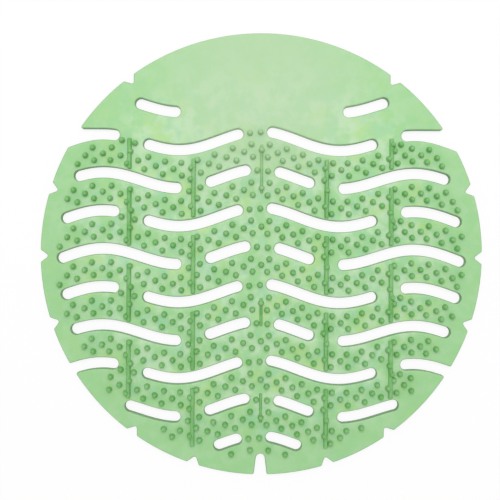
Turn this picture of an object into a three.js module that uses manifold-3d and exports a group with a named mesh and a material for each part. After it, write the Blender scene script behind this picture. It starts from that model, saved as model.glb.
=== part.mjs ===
// Urinal deodorizer screen: one moulded disc of soft scented plastic. Wave-shaped drain slots
// cross it in ten rows, small tapered pegs and short low ribs stand between the rows, and
// its rim is notched so that it can be torn or bent to fit.
// Millimetres, +Z up. The origin is the centre of the flat underside, +Y points to the bare top.

import * as THREE from "three";
import { mergeVertices } from "three/addons/utils/BufferGeometryUtils.js";
import Module from "manifold-3d";

const wasm = await Module();
wasm.setup();

// Disc
const discRadius = 95;
const discThickness = 3;
const discFacets = 96;

// Wave that every row of slots and every line of pegs follows
const waveHeight = 3.76; // crest above the row's own line
const waveLength = 67.9;
const waveCrestX = -1.1; // the middle crest
const waveDroop = 0.0264; // fall of a row for each millimetre outwards

// Rows of slots, counted from the top
const rowCount = 10;
const rowPitch = 16.42;
const middleRow = 4; // its line passes through the centre of the disc

// Slots
const slotWidth = 4.7;
const slotStep = 6.5; // longest straight facet along a slot's side
const slotEndFacets = 4;
const topSlotStart = 35; // the two slots in the bare top, from the middle line
const topSlotEnd = 54.6;
const lastSlotEndLeft = 20.1; // the two slots of the last row
const lastSlotEndRight = 17.7;
const openSlotReach = 86.1; // outer slots of the odd rows, from the middle line
const rimBand = 7.1; // material between an outer slot's tip and the rim
const tipRingY = -1.1; // the ring that those tips reach is centred this far from the disc's centre
const thinnestRim = 3; // a slot that would leave less than this runs out through the rim

// Bridges, the material left between two slots of one row
const bridgeWidth = 10.2;
const oddMiddleBridgeX = -2.85;
const evenMiddleBridgeX = 0.45;
const outerBridgeLeftX = -56.1;
const outerBridgeRightX = 55;
const innerBridgeLeftX = -29.3;
const innerBridgeRightX = 28;

// Ribs, which stand in short stretches between the slots
const sideRibWidth = 1.8;
const sideRibHeight = 1.4;
const outerRibShift = 0.75; // outer ribs stand this much outside the middle of their bridges
const ribGapBelowSlot = 2.2; // plain disc between a slot and the side rib below it
const ribGapAboveSlot = 0.8;
const middleRibWidth = 1.2;
const middleRibHeight = 0.8;
const middleRibRuns = [[26, 47], [-31, -19], [-72.5, -60]]; // lowest and highest y

// Pegs
const pegDiameter = 2.8;
const pegHeight = 2.5;
const pegSides = 5;
const pegPitchLeft = 7.58;
const pegPitchRight = 6.84;
const pegStartLeft = 4.1; // first peg of a band's upper and lower lines, from the middle line
const pegStartRight = 3;
const pegColumnsLeft = 12;
const pegColumnsRight = 13;
const pegLineGap = 2.75; // between the middle line of a band and the lines beside it
const pegLineDrop = 8.4; // from a row's line to the middle line of the band below it
const pegRimGap = 7.2; // no peg's centre stands nearer to the rim

// Pegs on a bridge: along the row from the bridge's middle, and above the row's wave
const middleBridgePegs = [[-2.4, -0.7], [2.4, -0.7]];
const oddLeftBridgePegs = [[-3.6, -1.7], [-0.4, 2], [2.1, -1.3]];
const oddRightBridgePegs = [[0.6, 1.1], [0.6, -2.7], [4.1, -3.4]];
const evenLeftBridgePegs = [[-2.1, -1.8], [-0.7, 3.2], [2.7, -1.1]];
const evenRightBridgePegs = [[-1.7, 2.7], [0.4, -1.4]];

// Rim notches
const notchMouth = 5.4;
const notchDepth = 3;
const notchRootRadius = 0.9;
const notchPitch = 17.86; // degrees, mirrored on the left
const notchPhase = -0.8; // degrees from the X axis
const notchSteps = [-4, -3, -1, 0, 1, 3]; // the other steps hold open slots or the bare top

// Deep tapered slot in the lowest point of the rim
const keySlotMouth = 5.6;
const keySlotDepth = 8.9;
const keySlotRootRadius = 1.95;

// How far cutting tools pass the faces that they cut, and how far pegs and ribs are sunk
const overcut = 1;
const sunk = 0.2;

// Two points nearer than this are one, and a slot's end is found to within the other
const weldTolerance = 1e-4;
const reachTolerance = 0.01;

const arcDivisions = slotEndFacets / 2; // three.js draws two facets for each division of an arc
const slotRadius = slotWidth / 2;

// A closed three.js geometry as a solid for joining and cutting
function solidOf(geometry) {
  const bare = geometry.clone();
  bare.deleteAttribute("normal");
  bare.deleteAttribute("uv");
  const merged = mergeVertices(bare, weldTolerance);
  return new wasm.Manifold(
    new wasm.Mesh({
      numProp: 3,
      vertProperties: merged.attributes.position.array,
      triVerts: new Uint32Array(merged.index.array),
    }),
  );
}

function geometryOf(solid) {
  const mesh = solid.getMesh();
  const geometry = new THREE.BufferGeometry();
  geometry.setAttribute("position", new THREE.BufferAttribute(mesh.vertProperties, 3));
  geometry.setIndex(new THREE.BufferAttribute(mesh.triVerts, 1));
  const faceted = geometry.toNonIndexed();
  faceted.computeVertexNormals();
  return faceted;
}

// The wave's height and slope at x
function waveAt(x) {
  const out = x - waveCrestX;
  return waveHeight * Math.cos((2 * Math.PI * out) / waveLength) - waveDroop * Math.abs(out);
}

function waveSlope(x) {
  const out = x - waveCrestX;
  const turn = (2 * Math.PI) / waveLength;
  return -waveHeight * turn * Math.sin(turn * out) - waveDroop * Math.sign(out);
}

// A point beside the wave: x along it, a line's level, and a distance along its normal
function besideWave(x, level, distance) {
  const slope = waveSlope(x);
  const length = Math.hypot(1, slope);
  return new THREE.Vector2(
    x - (distance * slope) / length,
    level + waveAt(x) + distance / length,
  );
}

function rowLevel(row) {
  return (middleRow - row) * rowPitch;
}

// A cutter through the whole thickness of the disc
function cutterOf(shape) {
  const geometry = new THREE.ExtrudeGeometry(shape, {
    depth: discThickness + pegHeight + 2 * overcut,
    bevelEnabled: false,
    curveSegments: arcDivisions,
  });
  return geometry.translate(0, 0, -overcut);
}

// The upper side of an open slot beside the bare top runs out level from its highest point
function levelMouth(upper) {
  const crest = upper.reduce((a, b) => (b.y > a.y ? b : a));
  for (const point of upper) {
    if (Math.abs(point.x) > Math.abs(crest.x)) point.y = crest.y;
  }
}

// A slot with round ends whose tips are at startX and endX, along one row's wave
function slotShape(row, startX, endX) {
  const level = rowLevel(row);
  const first = startX + slotRadius;
  const last = endX - slotRadius;
  const steps = Math.max(1, Math.ceil((last - first) / slotStep));
  const stations = Array.from({ length: steps + 1 }, (_, i) => first + ((last - first) * i) / steps);
  const lower = stations.map((x) => besideWave(x, level, -slotRadius));
  const upper = stations.map((x) => besideWave(x, level, slotRadius)).reverse();
  if (row === 1 && Math.max(-startX, endX) > discRadius) levelMouth(upper);
  const firstTurn = Math.atan(waveSlope(first));
  const lastTurn = Math.atan(waveSlope(last));
  const quarter = Math.PI / 2;
  const shape = new THREE.Shape();
  shape.moveTo(lower[0].x, lower[0].y);
  lower.slice(1).forEach((p) => shape.lineTo(p.x, p.y));
  const end = besideWave(last, level, 0);
  shape.absarc(end.x, end.y, slotRadius, lastTurn - quarter, lastTurn + quarter, false);
  upper.slice(1).forEach((p) => shape.lineTo(p.x, p.y));
  const start = besideWave(first, level, 0);
  shape.absarc(start.x, start.y, slotRadius, firstTurn + quarter, firstTurn + 3 * quarter, false);
  return shape;
}

// How far out along a row, on one side, its wave stays inside the ring of that radius
function reachInside(row, radius, side) {
  const level = rowLevel(row);
  const fromCentre = (x) => Math.hypot(x, level + waveAt(x) - tipRingY);
  if (fromCentre(0) >= radius) return 0;
  let inside = 0;
  let outside = radius;
  while (outside - inside > reachTolerance) {
    const middle = (inside + outside) / 2;
    if (fromCentre(side * middle) < radius) inside = middle;
    else outside = middle;
  }
  return inside;
}

// The slots of one side of a row, as distances from the middle line
function slotSpans(row, side) {
  if (row === 0) return [[topSlotStart, topSlotEnd]];
  const odd = row % 2 === 1;
  const middleBridge = side * (odd ? oddMiddleBridgeX : evenMiddleBridgeX) + bridgeWidth / 2;
  if (row === rowCount - 1) return [[middleBridge, side < 0 ? lastSlotEndLeft : lastSlotEndRight]];
  const outerBridge = side < 0 ? -outerBridgeLeftX : outerBridgeRightX;
  const innerBridge = side < 0 ? -innerBridgeLeftX : innerBridgeRightX;
  const bridge = odd ? outerBridge : innerBridge;
  const inner = [middleBridge, bridge - bridgeWidth / 2];
  const outerStart = bridge + bridgeWidth / 2;
  if (!odd) {
    const tipCircle = discRadius - rimBand - slotRadius;
    return [inner, [outerStart, reachInside(row, tipCircle, side) + slotRadius]];
  }
  const closed = openSlotReach < reachInside(row, discRadius - thinnestRim, side);
  return [inner, [outerStart, closed ? openSlotReach : discRadius + slotWidth]];
}

function slotCutters() {
  const cutters = [];
  for (let row = 0; row < rowCount; row++) {
    for (const side of [-1, 1]) {
      for (const [from, to] of slotSpans(row, side)) {
        if (to - from < slotWidth) continue;
        const shape = side < 0 ? slotShape(row, -to, -from) : slotShape(row, from, to);
        cutters.push(cutterOf(shape));
      }
    }
  }
  return cutters;
}

// A notch that narrows inwards to a round root, drawn at the top of the rim and then turned
// to its direction, in radians from the X axis
function notchCutter(mouth, depth, rootRadius, direction) {
  const rootY = discRadius - depth + rootRadius;
  const halfMouth = mouth / 2;
  const rise = discRadius - rootY;
  const lean = Math.acos(rootRadius / Math.hypot(halfMouth, rise)) - Math.atan2(rise, halfMouth);
  const spread = halfMouth + overcut * Math.tan(lean);
  const shape = new THREE.Shape();
  shape.moveTo(spread, discRadius + overcut);
  shape.lineTo(-spread, discRadius + overcut);
  shape.absarc(0, rootY, rootRadius, Math.PI + lean, 2 * Math.PI - lean, false);
  return cutterOf(shape).rotateZ(direction - Math.PI / 2);
}

function rimCutters() {
  const lowest = -Math.PI / 2;
  const cutters = [notchCutter(keySlotMouth, keySlotDepth, keySlotRootRadius, lowest)];
  for (const step of notchSteps) {
    const right = THREE.MathUtils.degToRad(notchPhase + step * notchPitch);
    cutters.push(notchCutter(notchMouth, notchDepth, notchRootRadius, right));
    cutters.push(notchCutter(notchMouth, notchDepth, notchRootRadius, Math.PI - right));
  }
  return cutters;
}

// The stretches of a side rib, as lowest and highest y: from the first full row down to the
// band along the rim, without those that a slot crosses
function sideRibRuns(x) {
  const side = Math.sign(x);
  const halfSlot = slotRadius * Math.hypot(1, waveSlope(x));
  const runs = [];
  let top = rowLevel(1) + waveAt(x);
  for (let row = 1; row < rowCount; row++) {
    const crossed = slotSpans(row, side).some(([from, to]) => from < side * x && side * x < to);
    if (!crossed) continue;
    const slotY = rowLevel(row) + waveAt(x);
    runs.push([slotY + halfSlot + ribGapAboveSlot, top]);
    top = slotY - halfSlot - ribGapBelowSlot;
  }
  runs.push([-Math.sqrt((discRadius - rimBand) ** 2 - x ** 2), top]);
  return runs.filter(([low, high]) => high - low > sideRibWidth);
}

function ribBar(x, [low, high], width, height) {
  const bar = new THREE.BoxGeometry(width, high - low, height + sunk);
  return bar.translate(x, (low + high) / 2, discThickness + (height - sunk) / 2);
}

function ribBars() {
  const sideRibs = [
    outerBridgeLeftX - outerRibShift,
    innerBridgeLeftX,
    innerBridgeRightX,
    outerBridgeRightX + outerRibShift,
  ];
  return [
    ...middleRibRuns.map((run) => ribBar(0, run, middleRibWidth, middleRibHeight)),
    ...sideRibs.flatMap((x) =>
      sideRibRuns(x).map((run) => ribBar(x, run, sideRibWidth, sideRibHeight)),
    ),
  ];
}

// Three staggered lines of pegs in the band below a row
function bandPegs(row) {
  const level = rowLevel(row) - pegLineDrop;
  const pegs = [besideWave(0, level, 0)];
  const halves = [
    [-1, pegStartLeft, pegPitchLeft, pegColumnsLeft],
    [1, pegStartRight, pegPitchRight, pegColumnsRight],
  ];
  for (const [side, start, pitch, columns] of halves) {
    for (let column = 0; column < columns; column++) {
      const x = side * (start + column * pitch);
      pegs.push(besideWave(x, level, pegLineGap));
      pegs.push(besideWave(x, level, -pegLineGap));
      pegs.push(besideWave(side * (column + 1) * pitch, level, 0));
    }
  }
  return pegs;
}

// The few pegs on each bridge of a row. Those of the first full row stay off the bare top.
function bridgePegs(row) {
  const odd = row % 2 === 1;
  const groups = [[odd ? oddMiddleBridgeX : evenMiddleBridgeX, middleBridgePegs]];
  if (row < rowCount - 1) {
    groups.push(
      odd ? [outerBridgeLeftX, oddLeftBridgePegs] : [innerBridgeLeftX, evenLeftBridgePegs],
      odd ? [outerBridgeRightX, oddRightBridgePegs] : [innerBridgeRightX, evenRightBridgePegs],
    );
  }
  const level = rowLevel(row);
  return groups.flatMap(([x, pegs]) =>
    pegs
      .filter(([, across]) => row > 1 || across < 0)
      .map(([along, across]) => besideWave(x + along, level, across)),
  );
}

function pegCones() {
  const places = [];
  for (let row = 1; row < rowCount; row++) {
    places.push(...bandPegs(row), ...bridgePegs(row));
  }
  const cone = new THREE.ConeGeometry(pegDiameter / 2, pegHeight + sunk, pegSides);
  cone.rotateX(Math.PI / 2);
  cone.translate(0, 0, discThickness + (pegHeight - sunk) / 2);
  return places
    .filter((place) => place.length() < discRadius - pegRimGap)
    .map((place) => cone.clone().translate(place.x, place.y, 0));
}

function screenGeometry() {
  const disc = new THREE.CylinderGeometry(discRadius, discRadius, discThickness, discFacets);
  disc.rotateX(Math.PI / 2);
  disc.translate(0, 0, discThickness / 2);
  const raised = [disc, ...ribBars(), ...pegCones()].map(solidOf);
  const cutters = [...slotCutters(), ...rimCutters()].map(solidOf);
  const body = wasm.Manifold.union(raised);
  return geometryOf(body.subtract(wasm.Manifold.union(cutters)));
}

const softPlastic = new THREE.MeshStandardMaterial({
  color: 0xa3cf97,
  roughness: 0.45,
  metalness: 0,
});

const screen = new THREE.Mesh(screenGeometry(), softPlastic);
screen.name = "screen";

const part = new THREE.Group();
part.add(screen);

export default part;
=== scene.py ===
"""Looks of a urinal deodorizer screen: one moulded disc of soft, slightly translucent plastic,
seen straight from above on a white floor. Its outline, slots, pegs and ribs follow the same
sizes as the part's solids, with rounded edges and round pegs. Sizes are in millimetres."""

import math

import bpy
from mathutils import Matrix, Vector
from mathutils.geometry import delaunay_2d_cdt, intersect_line_sphere_2d


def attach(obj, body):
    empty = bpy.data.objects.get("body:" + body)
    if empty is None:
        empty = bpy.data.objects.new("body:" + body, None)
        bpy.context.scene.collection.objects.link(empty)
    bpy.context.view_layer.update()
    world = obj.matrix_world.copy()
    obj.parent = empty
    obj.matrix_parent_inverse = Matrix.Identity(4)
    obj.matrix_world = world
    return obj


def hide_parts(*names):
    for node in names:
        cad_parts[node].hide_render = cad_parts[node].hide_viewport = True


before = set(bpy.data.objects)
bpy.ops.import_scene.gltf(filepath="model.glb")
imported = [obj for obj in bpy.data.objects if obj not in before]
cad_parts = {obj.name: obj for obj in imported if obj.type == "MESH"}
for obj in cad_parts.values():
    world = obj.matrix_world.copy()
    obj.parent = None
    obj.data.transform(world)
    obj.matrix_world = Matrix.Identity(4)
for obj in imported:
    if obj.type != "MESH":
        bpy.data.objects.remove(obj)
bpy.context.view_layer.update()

MM = 0.001
LEFT, RIGHT = -1, 1

# Disc
DISC_RADIUS = 95
DISC_THICKNESS = 3
TOP_EDGE_RADIUS = 0.6
BOTTOM_EDGE_RADIUS = 0.25
CORNER_RADIUS = 0.7
CORNER_CLEAR = 1.4  # outline points nearer than this to a corner give way to its arc
CORNER_TURN = math.radians(25)  # a sharper turn of the outline is a corner

# Wave that every row of slots and every line of pegs follows
WAVE_HEIGHT = 3.76  # crest above the row's own line
WAVE_LENGTH = 67.9
WAVE_CREST_X = -1.1  # the middle crest
WAVE_DROOP = 0.0264  # fall of a row for each millimetre outwards

# Rows of slots, counted from the top
ROW_COUNT = 10
ROW_PITCH = 16.42
MIDDLE_ROW = 4  # its line passes through the disc's centre

# Slots
SLOT_WIDTH = 4.7
SLOT_RADIUS = SLOT_WIDTH / 2
TOP_SLOT = (35, 54.6)  # the two slots in the bare top, from the middle line
LAST_SLOT_END = {LEFT: 20.1, RIGHT: 17.7}
OPEN_SLOT_REACH = 86.1  # outer slots of the odd rows, from the middle line
RIM_BAND = 7.1  # material between an outer slot's tip and the rim
TIP_RING_Y = -1.1  # the ring that those tips reach is centred this far from the disc's centre
THINNEST_RIM = 3  # a slot that would leave less than this runs out through the rim
REACH_TOLERANCE = 0.01

# Bridges between two slots of one row
BRIDGE_WIDTH = 10.2
ODD_MIDDLE_BRIDGE_X = -2.85
EVEN_MIDDLE_BRIDGE_X = 0.45
OUTER_BRIDGE_X = {LEFT: -56.1, RIGHT: 55}
INNER_BRIDGE_X = {LEFT: -29.3, RIGHT: 28}

# Ribs, which stand in short stretches between the slots
SIDE_RIB_WIDTH = 1.8
SIDE_RIB_HEIGHT = 1.4
OUTER_RIB_SHIFT = 0.75  # outer ribs stand this much outside the middle of their bridges
RIB_GAP_BELOW_SLOT = 2.2
RIB_GAP_ABOVE_SLOT = 0.8
MIDDLE_RIB_WIDTH = 1.2
MIDDLE_RIB_HEIGHT = 0.8
MIDDLE_RIB_RUNS = [(26, 47), (-31, -19), (-72.5, -60)]  # lowest and highest y
RIB_EDGE = 0.45  # rounding along a rib's top and down its ends
RIB_FLARE = 0.15  # how far a rib's foot spreads on each side
RIB_FLARE_HEIGHT = 0.2
RIB_DRAFT = 0.05  # how far each side leans in below the rounding
RIB_ROUND = 0.4  # share of the rounding at its middle point
RIB_END_SHARES = [(0, 0.6), (1 / 3, 0.87), (1, 1)]  # (share of the rounding, share of the section)

# Pegs
PEG_HEIGHT = 2.5
PEG_SIDES = 12
PEG_PROFILE = [  # (radius, height)
    (1.5, 0),
    (1.2, 0.22),
    (1.12, 0.6),
    (1.02, 1.8),
    (0.85, 2.25),
    (0.5, 2.44),
    (0.2, PEG_HEIGHT),
]
PEG_PITCH = {LEFT: 7.58, RIGHT: 6.84}
PEG_START = {LEFT: 4.1, RIGHT: 3}  # first peg of a band's upper and lower lines
PEG_COLUMNS = {LEFT: 12, RIGHT: 13}
PEG_LINE_GAP = 2.75  # between the middle line of a band and the lines beside it
PEG_LINE_DROP = 8.4  # from a row's line to the middle line of the band below it
PEG_RIM_GAP = 7.2  # no peg's middle is nearer than this to the rim
PEG_CUT_GAP = 0.9  # nor than this to a slot or notch
SUNK = 0.2  # how far pegs and ribs reach into the disc

# Pegs on a bridge: along the row from the bridge's middle, and above the row's wave
MIDDLE_BRIDGE_PEGS = [(-2.4, -0.7), (2.4, -0.7)]
ODD_BRIDGE_PEGS = {
    LEFT: [(-3.6, -1.7), (-0.4, 2), (2.1, -1.3)],
    RIGHT: [(0.6, 1.1), (0.6, -2.7), (4.1, -3.4)],
}
EVEN_BRIDGE_PEGS = {
    LEFT: [(-2.1, -1.8), (-0.7, 3.2), (2.7, -1.1)],
    RIGHT: [(-1.7, 2.7), (0.4, -1.4)],
}

# Rim notches
NOTCH = (5.4, 3, 0.9)  # mouth, depth, radius of the root
NOTCH_PITCH = 17.86  # degrees, mirrored on the left
NOTCH_PHASE = -0.8  # degrees from the X axis
NOTCH_STEPS = (-4, -3, -1, 0, 1, 3)  # the other steps hold open slots or the bare top
KEY_SLOT = (5.6, 8.9, 1.95)  # the same three sizes
OVERCUT = 1  # how far a notch's outline passes the rim

# Fineness of the mesh
OUTLINE_STEP = 0.8
END_FACETS = 12
CORNER_FACETS = 6
TOP_EDGE_FACETS = 3
BOTTOM_EDGE_FACETS = 2
FLAT_ENOUGH = 0.9999  # a level face has at least this much of its normal upright
WELD_TOLERANCE = 1e-6

# Shades of the plastic, sRGB from 0 to 255
PLATE_SHADES = ((163, 213, 151), (191, 223, 182))
WARM_SHADE = (179, 219, 143)
COOL_SHADE = (157, 212, 171)
RIM_SHADE = (155, 207, 143)
# Painted shade: a darker grey green on the walls of slots and edges that stands in for their shade
WALL_PAINTED_SHADE = (118, 150, 112)
RAISED_SHADES = ((106, 176, 92), (126, 188, 114))
# Painted highlight: a paler colour over the bare top that stands in for the softbox's sheen there
PAINTED_HIGHLIGHT_SHADE = (180, 208, 168)

# Mottling and grain: (noise scale, detail)
CLOUD_NOISE = (170, 4)
WARM_NOISE = (130, 2)
COOL_NOISE = (200, 2)
GRAIN_NOISE = (700, 3)

# Where a shade shows: (value with none of it, value with most of it, how much that is)
CLOUD_FADE = (0.38, 0.62, 1)
WARM_FADE = (0.5, 0.7, 0.7)
COOL_FADE = (0.5, 0.7, 0.6)
RIM_FADE = (65, 90, 0.7)  # distance from the disc's centre
# Painted shade on faces that turn sideways
WALL_PAINTED_SHADE_FADE = (0.99, 0.6, 0.75)  # upright part of the normal
RAISED_FADE = (3.05, 3.5, 0.95)  # height above the underside
# Painted highlight: strongest near a point of the bare top and gone 62 mm from it
PAINTED_HIGHLIGHT_FADE = (62, 18, 0.65)  # distance from a point of the bare top
PAINTED_HIGHLIGHT_MIDDLE = (0, 72, DISC_THICKNESS)

# Surface of the plastic
ROUGHNESS = 0.52
SUBSURFACE = 0.25
SUBSURFACE_RADIUS = (0.7, 1, 0.6)
SUBSURFACE_SCALE = 1.5
GRAIN_STRENGTH = 0.25
GRAIN_DEPTH = 0.1

# Floor
FLOOR_HALF = 3000
FLOOR_GREY = 0.95
FLOOR_WHITE_SHARE = 0.86  # how much of the floor the camera sees as plain white

# Light
WORLD_LIGHT = 0.72  # the camera itself sees the world as plain white
SOFTBOX_SIZE = (420, 190)
SOFTBOX_PLACE = (0, 250, 600)
SOFTBOX_AIM = (0, 60, 0)
SOFTBOX_POWER = 1.6

# Camera, which looks straight down
CAMERA_X = -4.86
CAMERA_Y = 1.6
CAMERA_HEIGHT = 300  # above the disc's top
CAMERA_FIELD = 215  # across the picture, at the disc's top
CAMERA_ROLL = math.radians(0.3)


def wave_at(x):
    out = x - WAVE_CREST_X
    return WAVE_HEIGHT * math.cos(2 * math.pi * out / WAVE_LENGTH) - WAVE_DROOP * abs(out)


def wave_slope(x):
    out = x - WAVE_CREST_X
    turn = 2 * math.pi / WAVE_LENGTH
    return -WAVE_HEIGHT * turn * math.sin(turn * out) - math.copysign(WAVE_DROOP, out)


def beside_wave(x, level, distance):
    """A point beside the wave: x along it, a line's level, and a distance along its normal."""
    slope = wave_slope(x)
    length = math.hypot(1, slope)
    return Vector((x - distance * slope / length, level + wave_at(x) + distance / length))


def row_level(row):
    return (MIDDLE_ROW - row) * ROW_PITCH


def polar(radius, angle):
    return Vector((radius * math.cos(angle), radius * math.sin(angle)))


def angle_of(point):
    return math.atan2(point.y, point.x)


def level_mouth(upper):
    """The upper side of an open slot beside the bare top runs out level from its highest point."""
    crest = max(upper, key=lambda point: point.y)
    for point in upper:
        if abs(point.x) > abs(crest.x):
            point.y = crest.y


def slot_outline(row, start_x, end_x):
    """A slot with round ends along one row's wave, counter-clockwise."""
    level = row_level(row)
    first = start_x + SLOT_RADIUS
    last = end_x - SLOT_RADIUS
    steps = math.ceil((last - first) / OUTLINE_STEP)
    stations = [first + (last - first) * i / steps for i in range(steps + 1)]
    lower = [beside_wave(x, level, -SLOT_RADIUS) for x in stations]
    upper = [beside_wave(x, level, SLOT_RADIUS) for x in reversed(stations)]
    if row == 1 and max(-start_x, end_x) > DISC_RADIUS:
        level_mouth(upper)

    def round_end(x, quarter):
        turn = math.atan(wave_slope(x)) + quarter * math.pi / 2
        middle = beside_wave(x, level, 0)
        angles = [turn + math.pi * i / END_FACETS for i in range(1, END_FACETS)]
        return [middle + polar(SLOT_RADIUS, angle) for angle in angles]

    return lower + round_end(last, -1) + upper + round_end(first, 1)


def reach_inside(row, radius, side):
    """How far out along a row, on one side, its wave stays inside the ring of that radius."""
    inside, outside = 0, radius
    while outside - inside > REACH_TOLERANCE:
        middle = (inside + outside) / 2
        y = row_level(row) + wave_at(side * middle) - TIP_RING_Y
        if math.hypot(middle, y) < radius:
            inside = middle
        else:
            outside = middle
    return inside


def slot_spans(row, side):
    """The slots of one side of a row, as distances from the middle line."""
    if row == 0:
        return [TOP_SLOT]
    odd = row % 2 == 1
    middle_x = ODD_MIDDLE_BRIDGE_X if odd else EVEN_MIDDLE_BRIDGE_X
    start = side * middle_x + BRIDGE_WIDTH / 2
    if row == ROW_COUNT - 1:
        return [(start, LAST_SLOT_END[side])]
    bridge = abs(OUTER_BRIDGE_X[side] if odd else INNER_BRIDGE_X[side])
    outer_start = bridge + BRIDGE_WIDTH / 2
    if not odd:
        tip_ring = DISC_RADIUS - RIM_BAND - SLOT_RADIUS
        outer_end = reach_inside(row, tip_ring, side) + SLOT_RADIUS
    elif OPEN_SLOT_REACH < reach_inside(row, DISC_RADIUS - THINNEST_RIM, side):
        outer_end = OPEN_SLOT_REACH
    else:
        outer_end = DISC_RADIUS + SLOT_WIDTH
    spans = [(start, bridge - BRIDGE_WIDTH / 2), (outer_start, outer_end)]
    return [(a, b) for a, b in spans if b - a >= SLOT_WIDTH]


def notch_outline(size, direction):
    """A notch that narrows inwards to a round root, towards a direction from the disc's centre."""
    mouth, depth, root_radius = size
    rise = depth - root_radius
    lean = math.acos(root_radius / math.hypot(mouth / 2, rise)) - math.atan2(rise, mouth / 2)
    spread = mouth / 2 + OVERCUT * math.tan(lean)
    start = math.pi + lean
    sweep = math.pi - 2 * lean
    angles = [start + sweep * i / END_FACETS for i in range(END_FACETS + 1)]
    root = [Vector((0, DISC_RADIUS - rise)) + polar(root_radius, angle) for angle in angles]
    outside = DISC_RADIUS + OVERCUT
    ends = [Vector((spread, outside)), Vector((-spread, outside))]
    turn = Matrix.Rotation(direction - math.pi / 2, 2)
    return [turn @ point for point in ends + root]


def within_rim(outline):
    return all(point.length < DISC_RADIUS for point in outline)


def cut_outlines():
    """Closed outlines of everything that is cut out of the disc: those inside it, and those
    that open through its rim."""
    outlines = [
        slot_outline(row, start, end) if side == RIGHT else slot_outline(row, -end, -start)
        for row in range(ROW_COUNT)
        for side in (LEFT, RIGHT)
        for start, end in slot_spans(row, side)
    ]
    outlines.append(notch_outline(KEY_SLOT, -math.pi / 2))
    for step in NOTCH_STEPS:
        right = math.radians(NOTCH_PHASE + step * NOTCH_PITCH)
        outlines += [notch_outline(NOTCH, right), notch_outline(NOTCH, math.pi - right)]
    closed = [outline for outline in outlines if within_rim(outline)]
    opened = [outline for outline in outlines if not within_rim(outline)]
    return closed, opened


def rim_crossing(inside, outside):
    crossings = intersect_line_sphere_2d(inside, outside, Vector((0, 0)), DISC_RADIUS)
    return next(point for point in crossings if point)


def rim_outline(openings):
    """The rim counter-clockwise, with what opens through it."""
    paths = []
    for opening in openings:
        loop = opening[::-1]
        inside = [point.length < DISC_RADIUS for point in loop]
        first = next(i for i in range(len(loop)) if inside[i] and not inside[i - 1])
        loop = loop[first:] + loop[:first]
        count = sum(inside)
        entry = rim_crossing(loop[0], loop[-1])
        leave = rim_crossing(loop[count - 1], loop[count])
        paths.append([entry] + loop[:count] + [leave])
    paths.sort(key=lambda path: angle_of(path[0]))
    outline = []
    for path, following in zip(paths, paths[1:] + paths[:1]):
        start = angle_of(path[-1])
        sweep = (angle_of(following[0]) - start) % (2 * math.pi)
        steps = math.ceil(sweep * DISC_RADIUS / OUTLINE_STEP)
        outline += path
        outline += [polar(DISC_RADIUS, start + sweep * i / steps) for i in range(1, steps)]
    return outline


def neighbours(loop):
    """(point before, point, point after) for each point of a closed outline."""
    return zip(loop[-1:] + loop[:-1], loop, loop[1:] + loop[:1])


def corner_arc(before, corner, after):
    """The arc that stands for a corner."""
    back = (before - corner).normalized()
    on = (after - corner).normalized()
    half = back.angle(on) / 2
    middle = corner + (back + on).normalized() * CORNER_RADIUS / math.sin(half)
    start = angle_of(corner + back * CORNER_RADIUS / math.tan(half) - middle)
    end = angle_of(corner + on * CORNER_RADIUS / math.tan(half) - middle)
    sweep = (end - start + math.pi) % (2 * math.pi) - math.pi
    turns = [start + sweep * i / CORNER_FACETS for i in range(CORNER_FACETS + 1)]
    return [middle + polar(CORNER_RADIUS, turn) for turn in turns]


def round_corners(loop):
    corners = [p for a, p, b in neighbours(loop) if (p - a).angle(b - p) > CORNER_TURN]
    kept = [p for p in loop if p in corners or all((p - c).length > CORNER_CLEAR for c in corners)]
    rounded = []
    for before, point, after in neighbours(kept):
        rounded += corner_arc(before, point, after) if point in corners else [point]
    return rounded


def inset(loop, distance):
    """The outline moved into the plastic, which lies on its left."""
    moved = []
    for before, point, after in neighbours(loop):
        along = (point - before).normalized()
        mean = (along + (after - point).normalized()).normalized()
        left = Vector((-mean.y, mean.x))
        moved.append(point + left * distance / left.dot(Vector((-along.y, along.x))))
    return moved


def edge_profile():
    """(distance from the wall, height) from the flat underside round to the flat top."""
    profile = []
    for i in range(BOTTOM_EDGE_FACETS + 1):
        turn = math.pi / 2 * i / BOTTOM_EDGE_FACETS
        profile.append((
            BOTTOM_EDGE_RADIUS * (1 - math.sin(turn)),
            BOTTOM_EDGE_RADIUS * (1 - math.cos(turn)),
        ))
    for i in range(TOP_EDGE_FACETS + 1):
        turn = math.pi / 2 * i / TOP_EDGE_FACETS
        profile.append((
            TOP_EDGE_RADIUS * (1 - math.cos(turn)),
            DISC_THICKNESS - TOP_EDGE_RADIUS * (1 - math.sin(turn)),
        ))
    return profile


def flat_face(loops):
    """Triangles, counter-clockwise, that fill the first outline but not those inside it. Each
    corner is (outline, point in it)."""
    points = [p for loop in loops for p in loop]
    names = [(i, j) for i, loop in enumerate(loops) for j in range(len(loop))]
    faces = []
    for loop in loops:
        start = sum(len(face) for face in faces)
        faces.append(list(range(start, start + len(loop))))
    inside_with_holes = 2
    _, _, triangles, sources, _, _ = delaunay_2d_cdt(
        points, [], faces, inside_with_holes, WELD_TOLERANCE
    )
    return [[names[sources[corner][0]] for corner in triangle] for triangle in triangles]


def new_mesh_object(name, points, faces):
    mesh = bpy.data.meshes.new(name)
    mesh.from_pydata(points, [], faces)
    mesh.validate()
    made = bpy.data.objects.new(name, mesh)
    bpy.context.collection.objects.link(made)
    return made


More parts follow.
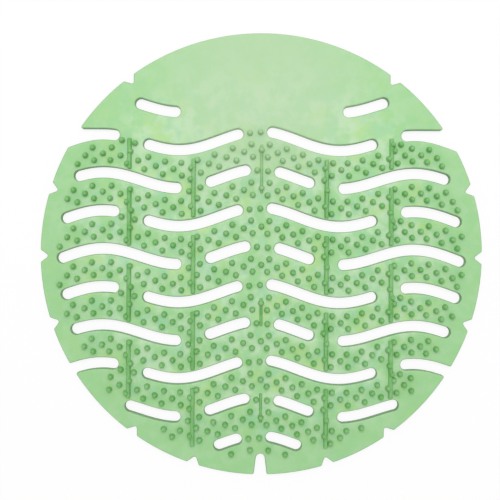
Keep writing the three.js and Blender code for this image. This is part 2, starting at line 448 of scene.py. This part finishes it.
def disc_object():
    closed, opened = cut_outlines()
    loops = [round_corners(rim_outline(opened))] + [loop[::-1] for loop in closed]
    profile = edge_profile()
    points = []
    faces = []
    rings = {}
    for i, loop in enumerate(loops):
        for level, (distance, height) in enumerate(profile):
            rings[level, i] = len(points)
            points += [(p.x, p.y, height) for p in inset(loop, distance)]
        for level in range(len(profile) - 1):
            low, high = rings[level, i], rings[level + 1, i]
            for j in range(len(loop)):
                k = (j + 1) % len(loop)
                faces.append((low + j, low + k, high + k, high + j))
    for level, step in ((0, -1), (len(profile) - 1, 1)):
        for triangle in flat_face([inset(loop, profile[level][0]) for loop in loops]):
            faces.append([rings[level, i] + j for i, j in triangle[::step]])
    return new_mesh_object("disc", points, faces)


def bridge_pegs(row):
    """The few pegs on each bridge of a row. Those of the first full row stay off the bare top."""
    odd = row % 2 == 1
    groups = [(ODD_MIDDLE_BRIDGE_X if odd else EVEN_MIDDLE_BRIDGE_X, MIDDLE_BRIDGE_PEGS)]
    if row < ROW_COUNT - 1:
        for side in (LEFT, RIGHT):
            x = OUTER_BRIDGE_X[side] if odd else INNER_BRIDGE_X[side]
            groups.append((x, ODD_BRIDGE_PEGS[side] if odd else EVEN_BRIDGE_PEGS[side]))
    return [
        beside_wave(x + along, row_level(row), across)
        for x, pegs in groups
        for along, across in pegs
        if row > 1 or across < 0
    ]


def peg_places():
    """Three staggered lines in the band below each full row, and the pegs on its bridges."""
    places = []
    for row in range(1, ROW_COUNT):
        level = row_level(row) - PEG_LINE_DROP
        places.append(beside_wave(0, level, 0))
        for side in (LEFT, RIGHT):
            for column in range(PEG_COLUMNS[side]):
                x = side * (PEG_START[side] + column * PEG_PITCH[side])
                places.append(beside_wave(x, level, PEG_LINE_GAP))
                places.append(beside_wave(x, level, -PEG_LINE_GAP))
                places.append(beside_wave(side * (column + 1) * PEG_PITCH[side], level, 0))
        places += bridge_pegs(row)
    cuts = [point for outlines in cut_outlines() for outline in outlines for point in outline]
    return [
        place
        for place in places
        if place.length < DISC_RADIUS - PEG_RIM_GAP
        and all((place - point).length > PEG_CUT_GAP for point in cuts)
    ]


def loft(sections):
    """Faces of a closed shell over sections of equally many points, counter-clockwise as seen
    from the last one."""
    count = len(sections[0])
    faces = [list(range(count))[::-1]]
    for level in range(len(sections) - 1):
        low = level * count
        for j in range(count):
            k = (j + 1) % count
            faces.append([low + j, low + k, low + count + k, low + count + j])
    faces.append([(len(sections) - 1) * count + j for j in range(count)])
    return faces


def join_shells(name, shells):
    """One object of several closed shells, each (points, faces)."""
    points = []
    faces = []
    for shell_points, shell_faces in shells:
        faces += [[len(points) + corner for corner in face] for face in shell_faces]
        points += shell_points
    return new_mesh_object(name, points, faces)


def peg_object():
    profile = [(PEG_PROFILE[0][0], -SUNK)] + PEG_PROFILE
    turns = [2 * math.pi * i / PEG_SIDES for i in range(PEG_SIDES)]
    shells = []
    for place in peg_places():
        sections = [
            [
                (place.x + r * math.cos(turn), place.y + r * math.sin(turn), DISC_THICKNESS + z)
                for turn in turns
            ]
            for r, z in profile
        ]
        shells.append(([p for section in sections for p in section], loft(sections)))
    return join_shells("pegs", shells)


def side_rib_runs(x):
    """(lowest, highest) y of each stretch of the side rib at x that no slot crosses."""
    side = RIGHT if x > 0 else LEFT
    half_slot = SLOT_RADIUS * math.hypot(1, wave_slope(x))
    runs = []
    top = row_level(1) + wave_at(x)
    for row in range(1, ROW_COUNT):
        if not any(start < side * x < end for start, end in slot_spans(row, side)):
            continue
        slot_y = row_level(row) + wave_at(x)
        runs.append((slot_y + half_slot + RIB_GAP_ABOVE_SLOT, top))
        top = slot_y - half_slot - RIB_GAP_BELOW_SLOT
    runs.append((-math.sqrt((DISC_RADIUS - RIM_BAND) ** 2 - x**2), top))
    return [(low, high) for low, high in runs if high - low > SIDE_RIB_WIDTH]


def rib_shell(x, run, width, height):
    """A bar with its top edges and its ends rounded down."""
    half = width / 2
    low, high = run
    shoulder = RIB_ROUND * RIB_EDGE
    right = [
        (half + RIB_FLARE, -SUNK),
        (half, RIB_FLARE_HEIGHT),
        (half - RIB_DRAFT, height - RIB_EDGE),
        (half - shoulder, height - shoulder),
        (half - RIB_EDGE, height),
    ]
    section = right + [(-across, z) for across, z in right[::-1]]
    steps = [(low + RIB_EDGE * along, share) for along, share in RIB_END_SHARES]
    steps += [(low + high - y, share) for y, share in steps[::-1]]
    sections = [
        [(x + across * share, y, DISC_THICKNESS + z * share) for across, z in section]
        for y, share in steps[::-1]
    ]
    return [p for section in sections for p in section], loft(sections)


def rib_object():
    shells = [
        rib_shell(0, run, MIDDLE_RIB_WIDTH, MIDDLE_RIB_HEIGHT) for run in MIDDLE_RIB_RUNS
    ]
    for side in (LEFT, RIGHT):
        for x in (OUTER_BRIDGE_X[side] + side * OUTER_RIB_SHIFT, INNER_BRIDGE_X[side]):
            for run in side_rib_runs(x):
                shells.append(rib_shell(x, run, SIDE_RIB_WIDTH, SIDE_RIB_HEIGHT))
    return join_shells("ribs", shells)


def unite(base, *others):
    """Joins closed meshes into base and removes them. What is flat keeps flat shading."""
    for other in others:
        union = base.modifiers.new(other.name, "BOOLEAN")
        union.operation = "UNION"
        union.solver = "MANIFOLD"
        union.object = other
    depsgraph = bpy.context.evaluated_depsgraph_get()
    mesh = bpy.data.meshes.new_from_object(base.evaluated_get(depsgraph), depsgraph=depsgraph)
    base.modifiers.clear()
    base.data = mesh
    for face in mesh.polygons:
        face.use_smooth = abs(face.normal.z) < FLAT_ENOUGH
    mesh.transform(Matrix.Scale(MM, 4))
    for other in others:
        bpy.data.objects.remove(other)


def linear(red, green, blue):
    """An sRGB colour, 0 to 255, as Blender's linear colour."""
    def channel(value):
        value /= 255
        return value / 12.92 if value <= 0.04045 else ((value + 0.055) / 1.055) ** 2.4
    return (channel(red), channel(green), channel(blue), 1)


class ShaderTree:
    """The nodes of one material, with a short call for each kind that it uses."""

    def __init__(self, name):
        self.material = bpy.data.materials.new(name)
        self.material.use_nodes = True
        self.nodes = self.material.node_tree.nodes
        self.link = self.material.node_tree.links.new
        self.place = self.nodes.new("ShaderNodeTexCoord")

    def noise(self, scale, detail):
        node = self.nodes.new("ShaderNodeTexNoise")
        node.inputs["Scale"].default_value = scale
        node.inputs["Detail"].default_value = detail
        self.link(self.place.outputs["Object"], node.inputs["Vector"])
        return node.outputs["Fac"]

    def upright(self, source):
        """The Z part of the place ("Object") or of the normal ("Normal")."""
        node = self.nodes.new("ShaderNodeSeparateXYZ")
        self.link(self.place.outputs[source], node.inputs["Vector"])
        return node.outputs["Z"]

    def absolute(self, value):
        node = self.nodes.new("ShaderNodeMath")
        node.operation = "ABSOLUTE"
        self.link(value, node.inputs[0])
        return node.outputs["Value"]

    def distance(self, point):
        node = self.nodes.new("ShaderNodeVectorMath")
        node.operation = "DISTANCE"
        node.inputs[1].default_value = Vector(point) * MM
        self.link(self.place.outputs["Object"], node.inputs[0])
        return node.outputs["Value"]

    def fade(self, value, limits, unit=1):
        """From 0 to the last of the limits as the value goes from the first to the second."""
        low, high, most = limits
        node = self.nodes.new("ShaderNodeMapRange")
        node.interpolation_type = "SMOOTHSTEP"
        node.inputs["From Min"].default_value = low * unit
        node.inputs["From Max"].default_value = high * unit
        node.inputs["To Max"].default_value = most
        self.link(value, node.inputs["Value"])
        return node.outputs["Result"]

    def mixed(self, factor, first, second):
        """Two colours, each a shade or another node's colour."""
        node = self.nodes.new("ShaderNodeMix")
        node.data_type = "RGBA"
        self.link(factor, node.inputs["Factor"])
        for name, colour in (("A", first), ("B", second)):
            socket = next(s for s in node.inputs if s.name == name and s.type == "RGBA")
            if isinstance(colour, tuple):
                socket.default_value = linear(*colour)
            else:
                self.link(colour, socket)
        return next(s for s in node.outputs if s.type == "RGBA")


def plate_colour(tree, cloud):
    """Mottled plate, a fuller green along the rim, with painted shade that makes its walls greyer.
    """
    colour = tree.mixed(cloud, *PLATE_SHADES)
    warm = tree.fade(tree.noise(*WARM_NOISE), WARM_FADE)
    colour = tree.mixed(warm, colour, WARM_SHADE)
    cool = tree.fade(tree.noise(*COOL_NOISE), COOL_FADE)
    colour = tree.mixed(cool, colour, COOL_SHADE)
    rim = tree.fade(tree.distance((0, 0, 0)), RIM_FADE, MM)
    colour = tree.mixed(rim, colour, RIM_SHADE)
    # Painted shade: faces that turn sideways are painted a darker grey green
    wall = tree.fade(tree.absolute(tree.upright("Normal")), WALL_PAINTED_SHADE_FADE)
    return tree.mixed(wall, colour, WALL_PAINTED_SHADE)


def add_grain(tree, shader):
    grain = tree.nodes.new("ShaderNodeBump")
    grain.inputs["Strength"].default_value = GRAIN_STRENGTH
    grain.inputs["Distance"].default_value = GRAIN_DEPTH * MM
    tree.link(tree.noise(*GRAIN_NOISE), grain.inputs["Height"])
    tree.link(grain.outputs["Normal"], shader.inputs["Normal"])


def soft_plastic():
    """Pale green plastic, denser in colour on the pegs and ribs, with a painted highlight that
    makes it paler over the bare top.
    """
    tree = ShaderTree("soft_plastic")
    cloud = tree.fade(tree.noise(*CLOUD_NOISE), CLOUD_FADE)
    raised = tree.fade(tree.upright("Object"), RAISED_FADE, MM)
    colour = tree.mixed(raised, plate_colour(tree, cloud), tree.mixed(cloud, *RAISED_SHADES))
    # Painted highlight: the colour turns paler towards the middle of the bare top, on the pegs
    # there too
    painted_highlight = tree.fade(tree.distance(PAINTED_HIGHLIGHT_MIDDLE), PAINTED_HIGHLIGHT_FADE, MM)
    colour = tree.mixed(painted_highlight, colour, PAINTED_HIGHLIGHT_SHADE)

    shader = tree.nodes["Principled BSDF"]
    tree.link(colour, shader.inputs["Base Color"])
    shader.inputs["Roughness"].default_value = ROUGHNESS
    shader.inputs["Subsurface Weight"].default_value = SUBSURFACE
    shader.inputs["Subsurface Radius"].default_value = SUBSURFACE_RADIUS
    shader.inputs["Subsurface Scale"].default_value = SUBSURFACE_SCALE * MM
    add_grain(tree, shader)
    return tree.material


def add_screen():
    screen = disc_object()
    screen.name = "screen_looks"
    unite(screen, rib_object(), peg_object())
    screen.data.materials.clear()
    screen.data.materials.append(soft_plastic())
    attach(screen, "root")
    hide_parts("screen")


def floor_material():
    material = bpy.data.materials.new("floor")
    material.use_nodes = True
    nodes = material.node_tree.nodes
    link = material.node_tree.links.new
    nodes.clear()
    rays = nodes.new("ShaderNodeLightPath")
    share = nodes.new("ShaderNodeMath")
    share.operation = "MULTIPLY"
    share.inputs[1].default_value = FLOOR_WHITE_SHARE
    link(rays.outputs["Is Camera Ray"], share.inputs[0])
    matt = nodes.new("ShaderNodeBsdfDiffuse")
    matt.inputs["Color"].default_value = (FLOOR_GREY, FLOOR_GREY, FLOOR_GREY, 1)
    white = nodes.new("ShaderNodeEmission")
    both = nodes.new("ShaderNodeMixShader")
    link(share.outputs["Value"], both.inputs["Fac"])
    link(matt.outputs["BSDF"], both.inputs[1])
    link(white.outputs["Emission"], both.inputs[2])
    output = nodes.new("ShaderNodeOutputMaterial")
    link(both.outputs["Shader"], output.inputs["Surface"])
    return material


def add_floor():
    """A white floor that shows the camera a fainter shadow than it has."""
    half = FLOOR_HALF * MM
    corners = [(-half, -half, 0), (half, -half, 0), (half, half, 0), (-half, half, 0)]
    floor = new_mesh_object("floor", corners, [(0, 1, 2, 3)])
    floor.data.materials.append(floor_material())


def add_world():
    world = bpy.data.worlds.new("studio")
    bpy.context.scene.world = world
    world.use_nodes = True
    nodes = world.node_tree.nodes
    link = world.node_tree.links.new
    rays = nodes.new("ShaderNodeLightPath")
    strength = nodes.new("ShaderNodeMapRange")
    strength.inputs["To Min"].default_value = WORLD_LIGHT
    link(rays.outputs["Is Camera Ray"], strength.inputs["Value"])
    background = nodes["Background"]
    background.inputs["Color"].default_value = (1, 1, 1, 1)
    link(strength.outputs["Result"], background.inputs["Strength"])


def add_softbox():
    data = bpy.data.lights.new("softbox", "AREA")
    data.shape = "RECTANGLE"
    data.size = SOFTBOX_SIZE[0] * MM
    data.size_y = SOFTBOX_SIZE[1] * MM
    data.energy = SOFTBOX_POWER
    softbox = bpy.data.objects.new("softbox", data)
    softbox.location = Vector(SOFTBOX_PLACE) * MM
    aim = Vector(SOFTBOX_AIM) * MM - softbox.location
    softbox.rotation_euler = aim.to_track_quat("-Z", "Y").to_euler()
    bpy.context.collection.objects.link(softbox)


def add_camera():
    data = bpy.data.cameras.new("camera")
    data.lens = data.sensor_width * CAMERA_HEIGHT / CAMERA_FIELD
    camera = bpy.data.objects.new("camera", data)
    camera.location = Vector((CAMERA_X, CAMERA_Y, DISC_THICKNESS + CAMERA_HEIGHT)) * MM
    camera.rotation_euler = (0, 0, CAMERA_ROLL)
    bpy.context.collection.objects.link(camera)
    bpy.context.scene.camera = camera


bpy.context.scene.view_settings.view_transform = "Standard"
add_screen()
add_floor()
add_world()
add_softbox()
add_camera()
